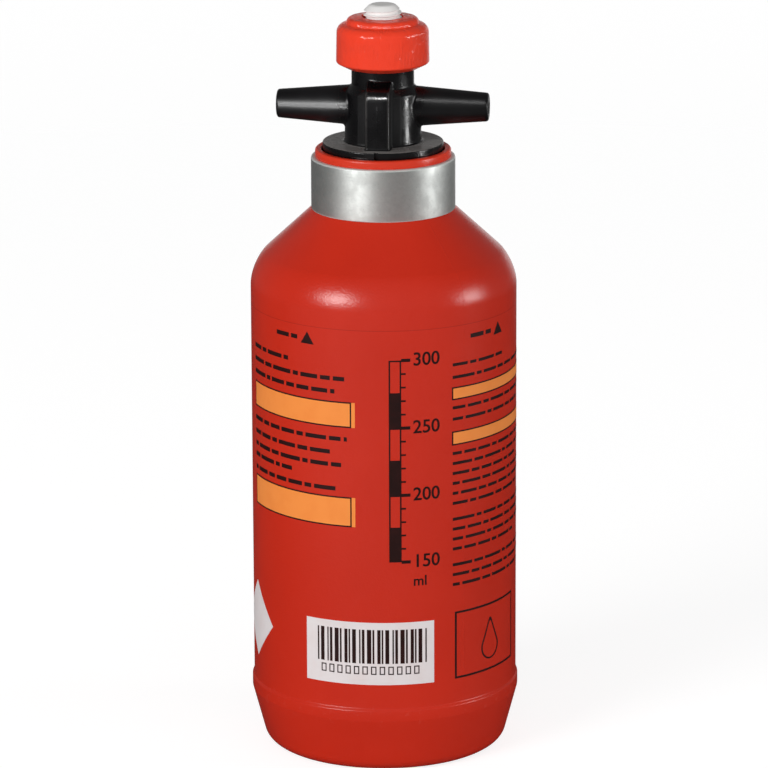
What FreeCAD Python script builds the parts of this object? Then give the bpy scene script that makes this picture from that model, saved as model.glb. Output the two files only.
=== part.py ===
import FreeCAD, Part
import math
import os

# Camping fuel bottle with a press-to-pour safety valve, in millimetres.
# +Z runs up the axis from the table, the spouts lie along X and -Y is the front.

Vector = FreeCAD.Vector
UP = Vector(0, 0, 1)
ACROSS = Vector(1, 0, 0)

# Bottle
body_diameter = 65.0
body_height = 121.2  # table to the corner where the wall would meet the shoulder
body_wall = 1.7
shoulder_height = 13.9
shoulder_rounding = 11.6
base_diameter = 58.4
base_rounding = 3.9
base_taper_height = 14.0
floor_thickness = 1.9
floor_rounding = 3.0
foot_width = 3.3  # flat ring that the bottle stands on
recess_depth = 2.0
band_height = 2.3
band_rise = 0.45
band_slope = 1.8
band_rounding = 2.0

# Neck and collar
neck_diameter = 32.6
neck_wall = 1.3  # beside the flange
seat_width = 2.0  # ledge for the gasket, outside the thread
collar_wall = 1.2
collar_height = 12.8
collar_rounding = 0.45
collar_clearance = 0.05
lip_height = 2.0
lip_rise = 0.2
lip_rounding = 0.55

# Thread between neck and valve
neck_thread_depth = 1.0
neck_thread_pitch = 4.0
neck_thread_foot = 2.2
neck_thread_crest = 1.2
neck_thread_length = 6.5
neck_thread_clearance = 0.2
thread_bite = 0.15  # how deep a ridge is rooted in its core

# Valve body
flange_thickness = 3.1
flange_rounding = 0.35
flange_notch_width = 1.0
flange_notch_depth = 0.7
flange_sink = 1.4  # underside of the flange below the lip
mouth_clearance = 0.3
gasket_thickness = 1.2
gasket_clearance = 0.15
hub_foot_diameter = 18.7
hub_top_diameter = 18.2
hub_height = 12.4
hub_step = 1.6
hub_rounding = 0.9
root_rounding = 1.0  # where hub, spouts, fins and flange meet
guide_diameter = 15.2
guide_height = 21.2  # top of the guide tube above the flange
guide_rounding = 0.5
skirt_length = 11.0
skirt_wall = 1.5
skirt_chamfer = 0.6
spout_height = 8.75
spout_span = 51.6
spout_root_diameter = 9.6
spout_tip_diameter = 6.9
spout_tip_rounding = 0.7
spout_bore = 3.5
fin_reach = 12.8
fin_root_width = 6.2
fin_edge_width = 5.8
fin_height = 14.0
fin_slope = 0.35  # rise of its top per unit towards the axis
fin_nose = 3.0  # rounding between its outer edge and its top
fin_rounding = 0.6

# Valve passages
seat_depth = 1.6  # sealing seat below the top of the flange
gallery_diameter = 10.6
gallery_height = 13.4

# Stem
stem_thread_diameter = 9.5
stem_thread_depth = 0.75
stem_thread_pitch = 1.25
stem_thread_foot_share = 0.68  # of the pitch
stem_thread_crest_share = 0.16  # of the pitch
stem_thread_clearance = 0.1
stem_show = 3.0
stem_chamfer = 1.7
stem_rounding = 1.5
land_rise = 0.05  # guided land stands this far outside the thread
land_clearance = 0.05
land_length = 8.6
shank_diameter = 6.0
head_diameter = 14.8
head_thickness = 2.4
head_rounding = 0.5
tail_diameter = 4.0
tail_flats = 3.2
tail_clearance = 0.1
tail_show = 3.0
seal_thickness = 1.4
seal_clearance = 0.05
seal_margin = 0.3  # head standing out round the seal
ring_section = 1.6
ring_clearance = 0.03
ring_drop = 3.6  # middle of the ring below the top of the guide tube

# Spring and cage
spring_length = 13.0
spring_diameter = 11.6
spring_wire = 1.1
spring_turns = 5.0
cage_clearance = 0.05
cage_grip = 5.0
cage_wall = 1.3
cage_bead = 0.25
cage_bead_height = 1.0
cage_floor = 1.6
cage_boss = 1.0  # boss inside the spring's lowest turn
cage_boss_clearance = 0.2
cage_rim = 1.2
cage_rim_margin = 0.3
cage_window = 8.0
cage_windows = 4
cage_drain = 1.6

# Thumb screw
press_travel = 2.0
press_gap = 0.4
washer_thickness = 0.8
washer_clearance = 0.2
thumb_diameter = 22.6
thumb_draft = 0.15
thumb_roof = 6.25
thumb_bore_clearance = 0.35
thumb_rim_wall = 0.8
thumb_rim_slope = 1.3
thumb_rim_rounding = 0.6
thumb_side_rounding = 1.9
thumb_shoulder_rise = 0.6
thumb_step_diameter = 17.6
thumb_step_height = 1.6
thumb_step_draft = 0.2
thumb_step_rounding = 1.0
thumb_mouth_chamfer = 0.3

# Levels up the axis
neck_base = body_height + shoulder_height
collar_top = neck_base + collar_height
lip_top = collar_top + lip_height
flange_bottom = lip_top - flange_sink
gasket_seat = flange_bottom - gasket_thickness
flange_top = flange_bottom + flange_thickness
skirt_bottom = flange_bottom - skirt_length
spout_level = flange_top + spout_height
hub_top = flange_top + hub_height
guide_top = flange_top + guide_height
fin_crown = flange_top + fin_height + fin_slope * (fin_reach - guide_diameter / 2)
poppet_seat = flange_top - seat_depth
gallery_top = flange_top + gallery_height
head_top = poppet_seat - seal_thickness
head_bottom = head_top - head_thickness
cage_floor_top = head_bottom - spring_length
cage_floor_bottom = cage_floor_top - cage_floor
tail_bottom = cage_floor_bottom - tail_show
washer_bottom = guide_top + press_travel + press_gap
thumb_ceiling = washer_bottom + washer_thickness
thumb_top = thumb_ceiling + thumb_roof
thumb_bottom = fin_crown + press_travel + press_gap
stem_top = thumb_top + stem_show
land_top = guide_top + press_gap
ring_level = guide_top - ring_drop
neck_thread_start = skirt_bottom + neck_thread_foot
stem_thread_start = land_top + stem_thread_pitch

# Section of the fine thread, which follows its pitch
stem_thread_foot = stem_thread_foot_share * stem_thread_pitch
stem_thread_crest = stem_thread_crest_share * stem_thread_pitch

# Radii shared by pieces that fit each other
body_radius = body_diameter / 2
neck_radius = neck_diameter / 2
collar_inner_radius = neck_radius + collar_clearance
collar_radius = collar_inner_radius + collar_wall
mouth_radius = neck_radius - neck_wall
flange_radius = mouth_radius - mouth_clearance
skirt_crest_radius = mouth_radius - seat_width
skirt_radius = skirt_crest_radius - neck_thread_depth
neck_bore_radius = skirt_radius + neck_thread_clearance
gasket_inner_radius = skirt_crest_radius + gasket_clearance
guide_radius = guide_diameter / 2
chamber_radius = skirt_radius - skirt_wall
gallery_radius = gallery_diameter / 2
stem_crest_radius = stem_thread_diameter / 2
stem_core_radius = stem_crest_radius - stem_thread_depth
land_radius = stem_crest_radius + land_rise
guide_bore_radius = land_radius + land_clearance
shank_radius = shank_diameter / 2
head_radius = head_diameter / 2
tail_radius = tail_diameter / 2
thumb_bore_radius = guide_radius + thumb_bore_clearance
thumb_hole_radius = stem_core_radius + stem_thread_clearance
hub_foot_radius = hub_foot_diameter / 2
cage_radius = chamber_radius - cage_clearance

OVER_CUT = 5.0  # how far a cutter runs past what it cuts
SEAM_TURN = 45  # keeps the seams of turned pieces clear of threads, spouts and fins
TOUCH = 0.001
SPRING_SAMPLES = 24  # points in a turn


def outline(corners):
    """Closed wire in the XZ plane through corners given as (radius, height, rounding)."""
    points = [Vector(corner[0], 0, corner[1]) for corner in corners]
    arrivals = []
    departures = []
    arcs = []
    for index, point in enumerate(points):
        rounding = corners[index][2]
        if not rounding:
            arrivals.append(point)
            departures.append(point)
            arcs.append(None)
            continue
        back = (points[index - 1] - point).normalize()
        ahead = (points[(index + 1) % len(points)] - point).normalize()
        half = back.getAngle(ahead) / 2
        middle = (back + ahead).normalize()
        crown = point + middle * (rounding / math.sin(half) - rounding)
        arrivals.append(point + back * (rounding / math.tan(half)))
        departures.append(point + ahead * (rounding / math.tan(half)))
        arcs.append(Part.Arc(arrivals[-1], crown, departures[-1]).toShape())
    edges = []
    for index, arc in enumerate(arcs):
        edges.append(Part.LineSegment(departures[index - 1], arrivals[index]).toShape())
        if arc:
            edges.append(arc)
    return Part.Wire(edges)


def turned(corners):
    """Solid of revolution about the Z axis, its seam turned aside."""
    solid = Part.Face(outline(corners)).revolve(Vector(), UP, 360)
    solid.rotate(Vector(), UP, SEAM_TURN)
    return solid


def tube(inner_radius, outer_radius, low, high):
    """Plain ring between two levels."""
    bar = Part.makeCylinder(outer_radius, high - low, Vector(0, 0, low))
    return bar.cut(Part.makeCylinder(inner_radius, high - low, Vector(0, 0, low)))


def thread_ridge(pitch, core_radius, crest_radius, foot, crest, growth, low, high):
    """Right-hand thread ridge whose middle climbs from low to high, grown by a clearance."""
    slope = (foot - crest) / 2 / (crest_radius - core_radius)
    inner = core_radius + growth - thread_bite
    outer = crest_radius + growth
    wide = foot / 2 + growth + slope * thread_bite
    narrow = crest / 2 + growth
    section = Part.makePolygon(
        [
            Vector(inner, 0, low - wide),
            Vector(outer, 0, low - narrow),
            Vector(outer, 0, low + narrow),
            Vector(inner, 0, low + wide),
            Vector(inner, 0, low - wide),
        ]
    )
    helix = Part.makeLongHelix(pitch, high - low, crest_radius)
    helix.translate(Vector(0, 0, low))
    return helix.makePipeShell([section], True, True)


def edges_where(shape, test):
    """Edges that pass a test at three points along them."""
    found = []
    for edge in shape.Edges:
        if edge.Degenerated:
            continue
        length = edge.LastParameter - edge.FirstParameter
        points = [edge.valueAt(edge.FirstParameter + length * part) for part in (0.25, 0.5, 0.75)]
        if all(test(point) for point in points):
            found.append(edge)
    return found


def on_skin(point, solid):
    """Does a point lie on the surface of a solid?"""
    return Part.Vertex(point).distToShape(solid.Shells[0])[0] < TOUCH


def rounded(solid, edges, rounding):
    """Edges rounded, with a smaller rounding where the full one has no room."""
    for share in (1, 0.75, 0.5, 0.25):
        try:
            result = solid.makeFillet(rounding * share, edges)
        except (Part.OCCError, ValueError):
            continue
        if result.isValid() and len(result.Solids) == 1:
            return result
    raise ValueError(f"no room for a rounding of {rounding} mm")


def bottle_body():
    """Thin-walled bottle with a hollowed base, a raised band, a threaded neck and a lip."""
    base_radius = base_diameter / 2
    band_radius = body_radius + band_rise
    recess_radius = base_radius - base_rounding - foot_width
    lip_radius = collar_inner_radius + lip_rise
    outside = turned(
        [
            (0, recess_depth, 0),
            (recess_radius - recess_depth, recess_depth, recess_depth / 2),
            (recess_radius, 0, recess_depth / 4),
            (base_radius, 0, base_rounding),
            (band_radius, base_taper_height, band_rounding),
            (band_radius, base_taper_height + band_height, band_rounding),
            (body_radius, base_taper_height + band_height + band_slope, band_rounding),
            (body_radius, body_height, shoulder_rounding),
            (collar_radius, neck_base, 0),
            (neck_radius, neck_base, 0),
            (neck_radius, collar_top, 0),
            (lip_radius, collar_top, 0),
            (lip_radius, lip_top, lip_rounding),
            (mouth_radius, lip_top, lip_rounding / 2),
            (mouth_radius, gasket_seat, 0),
            (0, gasket_seat, 0),
        ]
    )
    # The inside follows the outside one wall away.
    inner_radius = body_radius - body_wall
    taper = (band_radius - base_radius) / base_taper_height
    taper_wall = body_wall * math.hypot(1, taper)
    taper_low = base_radius + taper * floor_thickness - taper_wall
    taper_top = (inner_radius - base_radius + taper_wall) / taper
    shoulder_run = body_radius - collar_radius
    fall = shoulder_height / shoulder_run
    drop = body_wall * math.hypot(1, fall)
    shoulder_low = body_height + fall * body_wall - drop
    shoulder_high = body_height + fall * (body_radius - neck_bore_radius) - drop
    inside = turned(
        [
            (0, recess_depth + floor_thickness, 0),
            (recess_radius, recess_depth + floor_thickness, recess_depth / 4),
            (recess_radius + recess_depth, floor_thickness, recess_depth / 4),
            (taper_low, floor_thickness, floor_rounding),
            (inner_radius, taper_top, 0),
            (inner_radius, shoulder_low, shoulder_rounding - body_wall),
            (neck_bore_radius, shoulder_high, 0),
            (neck_bore_radius, gasket_seat + OVER_CUT, 0),
            (0, gasket_seat + OVER_CUT, 0),
        ]
    )
    groove = thread_ridge(
        neck_thread_pitch,
        skirt_radius,
        skirt_crest_radius,
        neck_thread_foot,
        neck_thread_crest,
        neck_thread_clearance,
        neck_thread_start - neck_thread_pitch,
        gasket_seat + neck_thread_foot,
    )
    return outside.cut(inside).cut(groove)


def neck_collar():
    """Plain ring that stands on the shoulder under the lip."""
    return turned(
        [
            (collar_inner_radius, neck_base, 0),
            (collar_radius, neck_base, collar_rounding / 2),
            (collar_radius, collar_top, collar_rounding),
            (collar_inner_radius, collar_top, 0),
        ]
    )


def neck_gasket():
    """Flat ring under the flange."""
    return tube(gasket_inner_radius, flange_radius, gasket_seat, flange_bottom)


def spout():
    """Tapered spout along +X, rounded at its tip."""
    reach = spout_span / 2
    root = hub_foot_diameter / 2
    taper = (spout_root_diameter - spout_tip_diameter) / 2 / (reach - root)
    solid = turned(
        [
            (0, 0, 0),
            (spout_root_diameter / 2 + taper * root, 0, 0),
            (spout_tip_diameter / 2, reach, spout_tip_rounding),
            (0, reach, 0),
        ]
    )
    solid.rotate(Vector(), Vector(0, 1, 0), 90)
    solid.translate(Vector(0, 0, spout_level))
    return solid


def fin():
    """Upright fin at the front, narrower towards its outer edge, with a sloped top and a round nose."""
    low = flange_top - flange_thickness / 2
    high = fin_crown + fin_slope * guide_radius
    side = outline(
        [
            (0, low, 0),
            (fin_reach, low, 0),
            (fin_reach, flange_top + fin_height, fin_nose),
            (0, high, 0),
        ]
    )
    draft = (fin_root_width - fin_edge_width) / 2 / fin_reach
    root = fin_root_width / 2 + draft * guide_radius
    edge = fin_edge_width / 2
    plan = Part.makePolygon(
        [
            Vector(-root, 0, low),
            Vector(-edge, -fin_reach, low),
            Vector(edge, -fin_reach, low),
            Vector(root, 0, low),
            Vector(-root, 0, low),
        ]
    )
    slab = Part.Face(side).extrude(Vector(0, 2 * fin_root_width, 0))
    slab.translate(Vector(0, -fin_root_width, 0))
    slab.rotate(Vector(), UP, -90)
    solid = slab.common(Part.Face(plan).extrude(UP * (high - low)))

    def outer(point):
        return abs(point.x) > edge / 2 and point.y < -fin_rounding and point.z > low + fin_rounding

    return rounded(solid, edges_where(solid, outer), fin_rounding)


def valve_body():
    """Notched flange, hub, guide tube, spouts, fins and threaded skirt, with their passages."""
    core = turned(
        [
            (0, skirt_bottom, 0),
            (skirt_radius - skirt_chamfer, skirt_bottom, 0),
            (skirt_radius, skirt_bottom + skirt_chamfer, 0),
            (skirt_radius, flange_bottom, 0),
            (flange_radius, flange_bottom, 0),
            (flange_radius, flange_top, flange_rounding),
            (hub_foot_radius, flange_top, 0),
            (hub_top_diameter / 2, hub_top, hub_rounding),
            (guide_radius, hub_top + hub_step, hub_rounding),
            (guide_radius, guide_top, guide_rounding),
            (0, guide_top, 0),
        ]
    )
    right = spout()
    left = right.mirror(Vector(), ACROSS)
    front = fin()
    back = front.mirror(Vector(), Vector(0, 1, 0))
    arms = [right, left, front, back]
    solid = core.fuse(arms).removeSplitter()

    def foot(point):
        return abs(point.z - flange_top) < TOUCH and math.hypot(point.x, point.y) < hub_foot_radius + TOUCH

    def joined(point):
        return any(on_skin(point, arm) for arm in arms) and on_skin(point, core)

    corners = edges_where(solid, lambda point: foot(point) or joined(point))
    solid = rounded(solid, corners, root_rounding)
    passages = [
        Part.makeCylinder(chamber_radius, poppet_seat - skirt_bottom, Vector(0, 0, skirt_bottom)),
        Part.makeCylinder(gallery_radius, gallery_top - poppet_seat, Vector(0, 0, poppet_seat)),
        Part.makeCylinder(guide_bore_radius, guide_top - gallery_top, Vector(0, 0, gallery_top)),
        Part.makeCylinder(spout_bore / 2, spout_span, Vector(-spout_span / 2, 0, spout_level), ACROSS),
        cage_bead_ring(cage_clearance),
        Part.makeBox(
            flange_notch_width,
            flange_notch_depth + OVER_CUT,
            flange_thickness,
            Vector(-flange_notch_width / 2, -flange_radius - OVER_CUT, flange_bottom),
        ),
    ]
    ridge = thread_ridge(
        neck_thread_pitch,
        skirt_radius,
        skirt_crest_radius,
        neck_thread_foot,
        neck_thread_crest,
        0,
        neck_thread_start,
        neck_thread_start + neck_thread_length,
    )
    return solid.cut(passages).fuse(ridge)


def cage_bead_ring(growth):
    """Bead that clips the cage into the skirt, grown by a clearance for its groove."""
    foot = cage_radius - cage_wall / 2
    middle = skirt_bottom + cage_grip / 2
    reach = cage_radius + cage_bead + growth
    half = cage_bead_height / 2 + growth
    return turned(
        [
            (foot, middle - half - cage_bead, 0),
            (cage_radius, middle - half - cage_bead, 0),
            (reach, middle - half, 0),
            (reach, middle + half, 0),
            (cage_radius, middle + half + cage_bead, 0),
            (foot, middle + half + cage_bead, 0),
        ]
    )


def flatted_bar(radius, flats, low, high):
    """Round bar with two flats that face the front and the back."""
    bar = Part.makeCylinder(radius, high - low, Vector(0, 0, low))
    slab = Part.makeBox(2 * radius, flats, high - low, Vector(-radius, -flats / 2, low))
    return bar.common(slab)


def spring_cage():
    """Cage under the valve: a clipped ring, a rim against the skirt, legs and a bossed floor."""
    inner = cage_radius - cage_wall
    rim_radius = skirt_radius - skirt_chamfer - cage_rim_margin
    solid = tube(inner, cage_radius, cage_floor_top, skirt_bottom + cage_grip)
    rim = tube(inner, rim_radius, skirt_bottom - cage_rim, skirt_bottom)
    base = Part.makeCylinder(cage_radius, cage_floor, Vector(0, 0, cage_floor_bottom))
    boss_radius = spring_diameter / 2 - spring_wire - cage_boss_clearance
    boss_top = cage_floor_top + cage_boss
    boss = Part.makeCylinder(boss_radius, boss_top - cage_floor_bottom, Vector(0, 0, cage_floor_bottom))
    solid = solid.fuse([rim, base, boss, cage_bead_ring(0)])
    hole = flatted_bar(
        tail_radius + tail_clearance,
        tail_flats + 2 * tail_clearance,
        cage_floor_bottom,
        boss_top,
    )
    cutters = [hole]
    window_height = skirt_bottom - cage_rim - cage_floor_top
    drain_place = (tail_radius + boss_radius) / 2
    for index in range(cage_windows):
        turn = 360 / cage_windows * (index + 0.5)
        window = Part.makeBox(
            2 * cage_radius,
            cage_window,
            window_height,
            Vector(cage_radius - 2 * cage_wall, -cage_window / 2, cage_floor_top),
        )
        drain_foot = Vector(drain_place, 0, cage_floor_bottom)
        drain = Part.makeCylinder(cage_drain / 2, boss_top - cage_floor_bottom, drain_foot)
        for cutter in (window, drain):
            cutter.rotate(Vector(), UP, turn)
            cutters.append(cutter)
    return solid.cut(cutters)


def return_spring():
    """Compression spring with ground ends, between the cage's floor and the stem's head."""
    coil_radius = (spring_diameter - spring_wire) / 2
    pitch = spring_length / spring_turns
    helix = Part.makeHelix(pitch, spring_length, coil_radius)
    helix.translate(Vector(0, 0, cage_floor_top))
    start = Vector(coil_radius, 0, cage_floor_top)
    section = Part.Wire(Part.makeCircle(spring_wire / 2, start, Vector(0, 1, 0)))
    wire = Part.Wire(helix).makePipeShell([section], True, True)
    slab = Part.makeCylinder(spring_diameter, spring_length, Vector(0, 0, cage_floor_top))
    points = helix.discretize(Number=int(spring_turns) * SPRING_SAMPLES + 1)
    gap = min(
        points[index].distanceToPoint(points[other])
        for index in range(len(points))
        for other in range(index + SPRING_SAMPLES // 2, len(points))
    )
    print("least gap between turns of the spring", round(gap - spring_wire, 2))
    return wire.common(slab)


def valve_stem():
    """Threaded stem with a guided land, a ring groove, a sealing head and a flatted tail."""
    land_bottom = land_top - land_length
    groove_half = ring_section / 2 + ring_clearance
    groove_radius = guide_bore_radius - ring_section - 2 * ring_clearance
    solid = turned(
        [
            (0, head_bottom, 0),
            (head_radius, head_bottom, head_rounding),
            (head_radius, head_top, head_rounding),
            (shank_radius, head_top, 0),
            (shank_radius, land_bottom, 0),
            (land_radius, land_bottom + land_radius - shank_radius, 0),
            (land_radius, ring_level - groove_half, 0),
            (groove_radius, ring_level - groove_half, 0),
            (groove_radius, ring_level + groove_half, 0),
            (land_radius, ring_level + groove_half, 0),
            (land_radius, land_top, 0),
            (stem_core_radius, land_top, 0),
            (stem_core_radius, stem_top + OVER_CUT / 2, 0),
            (0, stem_top + OVER_CUT / 2, 0),
        ]
    )
    ridge = thread_ridge(
        stem_thread_pitch,
        stem_core_radius,
        stem_crest_radius,
        stem_thread_foot,
        stem_thread_crest,
        0,
        stem_thread_start,
        stem_top + stem_thread_pitch,
    )
    tail = flatted_bar(tail_radius, tail_flats, tail_bottom, head_bottom)
    above = turned(
        [
            (0, stem_top, 0),
            (stem_crest_radius - stem_chamfer, stem_top, stem_rounding),
            (stem_crest_radius + OVER_CUT, stem_top - stem_chamfer - OVER_CUT, 0),
            (stem_crest_radius + OVER_CUT, stem_top + OVER_CUT, 0),
            (0, stem_top + OVER_CUT, 0),
        ]
    )
    return solid.fuse([ridge, tail]).cut(above)


def stem_o_ring():
    """Round ring in the stem's groove."""
    middle = guide_bore_radius - ring_clearance - ring_section / 2
    return Part.makeTorus(middle, ring_section / 2, Vector(0, 0, ring_level))


def poppet_seal():
    """Flat ring on the stem's head that closes against the seat."""
    return tube(shank_radius + seal_clearance, head_radius - seal_margin, head_top, poppet_seat)


def thumb_washer():
    """Thin ring under the roof of the thumb screw."""
    inner = stem_crest_radius + washer_clearance
    return tube(inner, thumb_bore_radius - washer_clearance, washer_bottom, thumb_ceiling)


def thumb_screw():
    """Round thumb screw: hollow skirt over the guide tube, threaded roof and a step on top."""
    thumb_radius = thumb_diameter / 2
    step_radius = thumb_step_diameter / 2
    step_bottom = thumb_top - thumb_step_height
    mouth = stem_crest_radius + stem_thread_clearance + thumb_mouth_chamfer
    solid = turned(
        [
            (thumb_bore_radius, thumb_bottom, 0),
            (thumb_bore_radius + thumb_rim_wall, thumb_bottom, 0),
            (thumb_radius, thumb_bottom + thumb_rim_slope, thumb_rim_rounding),
            (thumb_radius - thumb_draft, step_bottom - thumb_shoulder_rise, thumb_side_rounding),
            (step_radius, step_bottom, 0),
            (step_radius - thumb_step_draft, thumb_top, thumb_step_rounding),
            (mouth, thumb_top, 0),
            (thumb_hole_radius, thumb_top - mouth + thumb_hole_radius, 0),
            (thumb_hole_radius, thumb_ceiling, 0),
            (thumb_bore_radius, thumb_ceiling, 0),
        ]
    )
    turns_up = math.floor((thumb_ceiling - stem_thread_start) / stem_thread_pitch) - 1
    groove = thread_ridge(
        stem_thread_pitch,
        stem_core_radius,
        stem_crest_radius,
        stem_thread_foot,
        stem_thread_crest,
        stem_thread_clearance,
        stem_thread_start + turns_up * stem_thread_pitch,
        thumb_top + stem_thread_pitch,
    )
    return solid.cut(groove)


MAKERS = (
    bottle_body,
    neck_collar,
    neck_gasket,
    valve_body,
    spring_cage,
    return_spring,
    valve_stem,
    stem_o_ring,
    poppet_seal,
    thumb_washer,
    thumb_screw,
)

os.makedirs("parts", exist_ok=True)
for maker in MAKERS:
    shape = maker()
    if len(shape.Solids) != 1 or not shape.isValid():
        raise ValueError(maker.__name__ + " is not one sound solid")
    print(maker.__name__, round(shape.Volume, 1))
    shape.Solids[0].exportStep("parts/" + maker.__name__ + ".step")
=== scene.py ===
import logging
import math
from dataclasses import dataclass, field
from enum import Enum
from typing import Any, Iterable, Mapping, Sequence

import bmesh
import bpy
from mathutils import Matrix, Quaternion, Vector


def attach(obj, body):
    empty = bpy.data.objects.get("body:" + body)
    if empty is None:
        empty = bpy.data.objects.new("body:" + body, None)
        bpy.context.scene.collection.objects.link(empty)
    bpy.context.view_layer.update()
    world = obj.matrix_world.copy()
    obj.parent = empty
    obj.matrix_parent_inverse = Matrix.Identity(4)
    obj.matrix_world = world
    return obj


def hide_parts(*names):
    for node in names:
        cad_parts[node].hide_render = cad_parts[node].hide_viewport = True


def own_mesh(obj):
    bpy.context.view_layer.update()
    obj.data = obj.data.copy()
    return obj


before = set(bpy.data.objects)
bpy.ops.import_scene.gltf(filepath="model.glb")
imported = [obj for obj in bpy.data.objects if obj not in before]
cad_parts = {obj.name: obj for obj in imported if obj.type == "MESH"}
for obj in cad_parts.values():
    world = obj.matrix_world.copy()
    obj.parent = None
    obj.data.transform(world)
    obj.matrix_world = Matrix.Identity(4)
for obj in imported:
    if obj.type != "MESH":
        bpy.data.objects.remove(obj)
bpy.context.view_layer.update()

LOG = logging.getLogger("fuel_bottle")
MM = 0.001
WHITE = (1.0, 1.0, 1.0, 1.0)
EVEN = (1.0, 1.0, 1.0)
Point = tuple[float, float]
Triple = tuple[float, float, float]
Colour = Triple
Box = tuple[float, float, float, float]

# Sizes that several pieces share, in millimetres

WALL_RADIUS = 32.5
COLLAR_RADIUS = 17.55
NECK_LEVEL = 135.1
LIP_LEVEL = 147.9


class Body(Enum):
    """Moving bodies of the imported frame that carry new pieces."""

    BOTTLE = "bottle"
    VALVE = "valve"
    THUMB = "thumb"


class Slot(Enum):
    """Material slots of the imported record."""

    BOTTLE = "bottle_plastic"
    COLLAR = "collar_metal"
    VALVE = "valve_plastic"
    THUMB = "thumb_plastic"
    SPRING = "spring_steel"


# Shader maths


class Tone:
    """A value socket that takes part in Python expressions."""

    def __init__(self, bench: "Bench", socket: bpy.types.NodeSocket) -> None:
        """Keeps an output socket and the tree that its Math nodes go into."""
        self.bench = bench
        self.socket = socket

    def math(self, operation: str, *values: "Tone | float", flip: bool = False) -> "Tone":
        """Result of a Math node on this value and others, with this one last where it is flipped."""
        operands = [*values, self] if flip else [self, *values]
        return self.bench.add("ShaderNodeMath", {"operation": operation}, dict(enumerate(operands)))

    def __add__(self, other: "Tone | float") -> "Tone":
        """Sum."""
        return self.math("ADD", other)

    def __radd__(self, other: float) -> "Tone":
        """Sum with a number in front."""
        return self.math("ADD", other)

    def __sub__(self, other: "Tone | float") -> "Tone":
        """Difference."""
        return self.math("SUBTRACT", other)

    def __rsub__(self, other: float) -> "Tone":
        """Difference from a number."""
        return self.math("SUBTRACT", other, flip=True)

    def __mul__(self, other: "Tone | float") -> "Tone":
        """Product."""
        return self.math("MULTIPLY", other)

    def __rmul__(self, other: float) -> "Tone":
        """Product with a number in front."""
        return self.math("MULTIPLY", other)

    def sine(self) -> "Tone":
        """Sine of the value."""
        return self.math("SINE")

    def size(self) -> "Tone":
        """Absolute value."""
        return self.math("ABSOLUTE")

    def step(self, low: float, high: float) -> "Tone":
        """Smooth step from 0 at low to 1 at high."""
        values = {"Value": self, "From Min": low, "From Max": high}
        return self.bench.add("ShaderNodeMapRange", {"interpolation_type": "SMOOTHSTEP"}, values)

    def window(self, low: float, high: float, soft: float) -> "Tone":
        """One between low and high and zero outside them, with soft on either side of each flank."""
        return self.step(low - soft, low + soft) * (1 - self.step(high - soft, high + soft))

    def sibling(self, name: str) -> "Tone":
        """Another output of the same node."""
        return Tone(self.bench, self.socket.node.outputs[name])


class Bench:
    """A node tree that takes nodes by type, settings and sockets."""

    def __init__(self, tree: bpy.types.NodeTree) -> None:
        """Empties a tree.

        Args:
            tree: Tree of a material or of the world.
        """
        self.nodes = tree.nodes
        self.links = tree.links
        self.nodes.clear()

    @staticmethod
    def socket(sockets: Any, key: int | str) -> bpy.types.NodeSocket:
        """Finds a socket of a node.

        Args:
            sockets: Inputs or outputs of the node.
            key: Index, identifier or name.

        Returns:
            The socket.
        """
        if isinstance(key, int):
            return sockets[key]
        return next((one for one in sockets if one.identifier == key), None) or sockets[key]

    def add(
        self,
        kind: str,
        settings: Mapping[str, Any] | None = None,
        inputs: Mapping[int | str, Any] | None = None,
        output: int | str = 0,
    ) -> Tone | None:
        """Adds any node.

        Args:
            kind: Node type.
            settings: Properties of the node, which are set first.
            inputs: Values or links by socket.
            output: Socket that is returned.

        Returns:
            The chosen output, or nothing for a node that ends its tree.
        """
        node = self.nodes.new(kind)
        for name, value in (settings or {}).items():
            setattr(node, name, value)
        for key, value in (inputs or {}).items():
            target = self.socket(node.inputs, key)
            if isinstance(value, Tone):
                self.links.new(value.socket, target)
            else:
                target.default_value = value
        return Tone(self, self.socket(node.outputs, output)) if node.outputs else None

    def mix(self, share: Tone | float, first: Any, second: Any) -> Tone:
        """Mixes two colours.

        Args:
            share: Share of the second colour.
            first: Colour or link.
            second: Colour or link.

        Returns:
            The mixed colour.
        """
        sockets = {"Factor_Float": share}
        for key, value in (("A_Color", first), ("B_Color", second)):
            sockets[key] = value if isinstance(value, Tone) else (*value, 1.0)
        return self.add("ShaderNodeMix", {"data_type": "RGBA"}, sockets, "Result_Color")


@dataclass(frozen=True)
class Grain:
    """Noise pattern: spots in a metre, octaves, weight of the finer ones, bend, and stretch by axis."""

    scale: float
    detail: float = 2.0
    rough: float = 0.5
    bend: float = 0.0
    stretch: Triple = EVEN


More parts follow.
